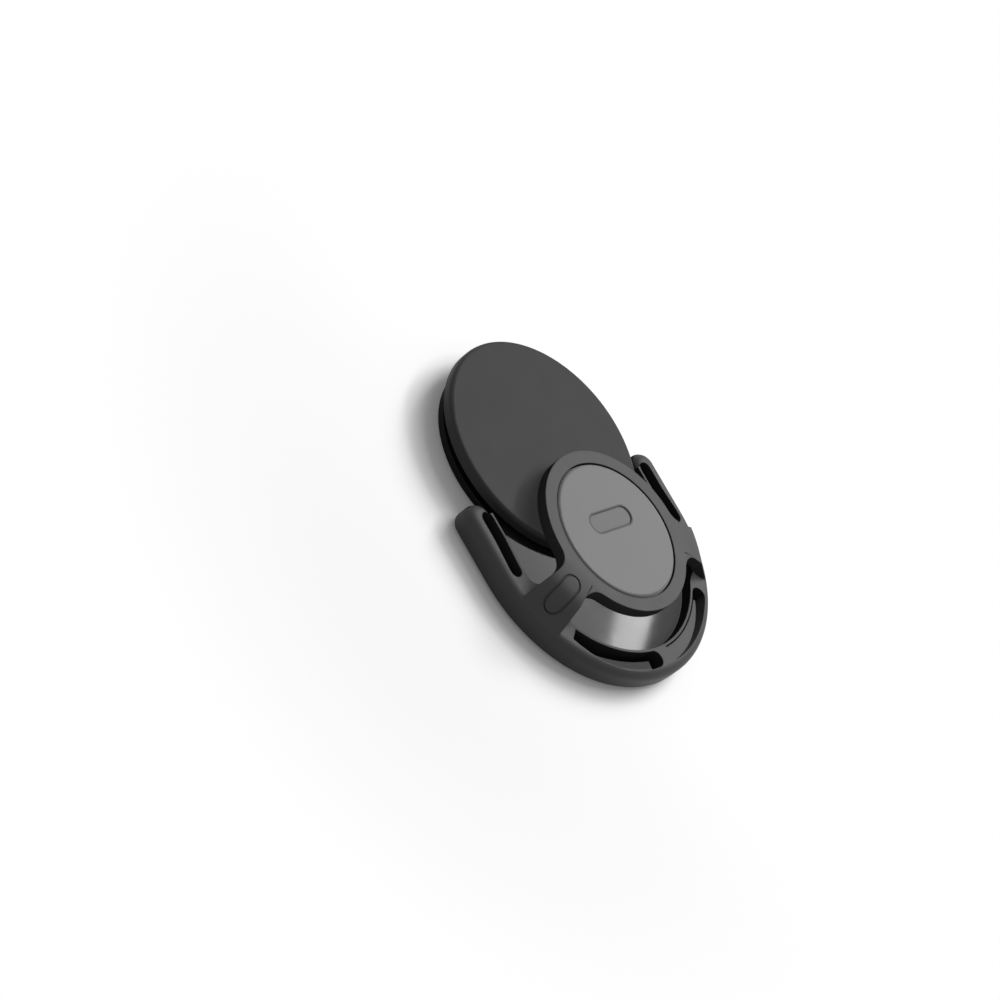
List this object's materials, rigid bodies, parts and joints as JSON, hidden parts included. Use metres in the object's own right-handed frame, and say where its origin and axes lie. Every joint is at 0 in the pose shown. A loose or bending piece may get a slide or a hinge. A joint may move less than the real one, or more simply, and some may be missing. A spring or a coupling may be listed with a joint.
{
  "type": "phone wall mount",
  "caption": "U-shaped wall cradle with a round hub on two straps, and the round fold-flat grip disc that slides into it, shown part-way in.",
  "frame": {"origin": "centre of the grip's adhesive face, which is stuck to the device", "axes": "+Z out of the device towards the wall, +Y along the device towards the cradle's open end, X across the mirror plane"},
  "size_m": [0.0502, 0.0626, 0.0096],
  "materials": {
    "frame": "soft-touch black, finely textured",
    "liner": "polished black",
    "pad": "satin grey",
    "cap": "matte charcoal",
    "neck": "soft black",
    "key": "satin black",
    "platform": "satin black",
    "adhesive": "tacky grey gel"
  },
  "bodies": {
    "grip_base": {"grip_platform": "platform", "grip_adhesive": "adhesive"},
    "grip_swivel": {"grip_key": "key", "grip_collar": "neck"},
    "grip_top": {"grip_cap": "cap"},
    "cradle": {"cradle_frame": "frame", "slide_liner": "liner", "wall_pad": "pad"}
  },
  "joints": [
    {"name": "grip_turn", "type": "hinge", "parent": "grip_base", "child": "grip_swivel", "pos_m": [0, 0, 0.0017], "axis": [0, 0, 1], "range_deg": [0, 90]},
    {"name": "pop_out", "type": "slide", "parent": "grip_swivel", "child": "grip_top", "axis": [0, 0, 1], "range_m": [0, 0.015], "deforming": ["grip_collar"]},
    {"name": "cradle_slide", "type": "slide", "parent": "grip_top", "child": "cradle", "axis": [0, 1, 0], "range_m": [-0.022, 0.0178]}
  ]
}
